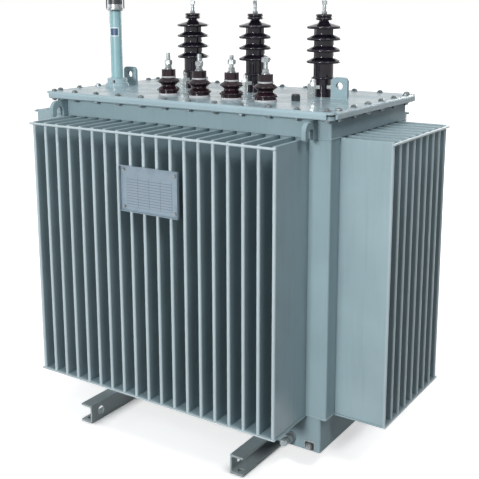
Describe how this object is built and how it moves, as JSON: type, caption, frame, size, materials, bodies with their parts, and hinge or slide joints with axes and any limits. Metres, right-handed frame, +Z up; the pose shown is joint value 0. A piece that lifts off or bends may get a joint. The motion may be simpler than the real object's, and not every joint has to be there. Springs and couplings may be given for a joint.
{
  "type": "oil filled distribution transformer",
  "caption": "Oil-filled power transformer with corrugated cooling walls, bolted lid, ribbed porcelain bushings, oil filler pipe, lifting points and channel feet.",
  "frame": {"origin": "on the ground, under the middle of the tank and its cooling fins", "axes": "+X along the long side to the right, +Y to the back, +Z up; the low-voltage bushings face -Y"},
  "size_m": [1.2506, 0.8166, 1.285],
  "materials": {
    "fin_paint": "satin",
    "tank_paint": "satin",
    "lid_paint": "gloss",
    "channel_paint": "satin",
    "gasket_rubber": "matte",
    "pale_gasket": "matte",
    "pipe_paint": "satin",
    "zinc_steel": "satin",
    "hv_glaze": "gloss",
    "lv_glaze": "gloss",
    "black_plastic": "gloss",
    "plate_metal": "satin"
  },
  "bodies": {
    "root": {"base_channel_left": "channel_paint", "base_channel_right": "channel_paint", "base_pan": "tank_paint", "fin_shelf": "tank_paint", "upper_wall_band": "tank_paint", "tank_flange": "tank_paint", "corner_post_front_left": "tank_paint", "corner_post_front_right": "tank_paint", "corner_post_back_left": "tank_paint", "corner_post_back_right": "tank_paint", "lifting_hook_front_left": "tank_paint", "lifting_hook_front_right": "tank_paint", "lifting_hook_back_left": "tank_paint", "lifting_hook_back_right": "tank_paint", "front_fin_wall": "fin_paint", "back_fin_wall": "fin_paint", "left_fin_wall": "fin_paint", "right_fin_wall": "fin_paint", "front_fin_rod": "fin_paint", "back_fin_rod": "fin_paint", "left_fin_rod": "fin_paint", "right_fin_rod": "fin_paint", "lid": "lid_paint", "lifting_lug_left": "lid_paint", "lifting_lug_right": "lid_paint", "filler_flange": "lid_paint", "lid_gasket": "gasket_rubber", "lv_gaskets": "pale_gasket", "filler_pipe": "pipe_paint", "valve_seat": "zinc_steel", "relief_valve_cap": "black_plastic", "hv_bushing_1": "hv_glaze", "hv_bushing_2": "hv_glaze", "hv_bushing_3": "hv_glaze", "lv_bushing_1": "lv_glaze", "lv_bushing_2": "lv_glaze", "lv_bushing_3": "lv_glaze", "lv_bushing_4": "lv_glaze", "hv_claws": "zinc_steel", "hv_studs": "zinc_steel", "lv_studs": "zinc_steel", "drain_valve": "zinc_steel", "thermometer_plug": "black_plastic", "name_plate": "plate_metal"}
  },
  "joints": []
}
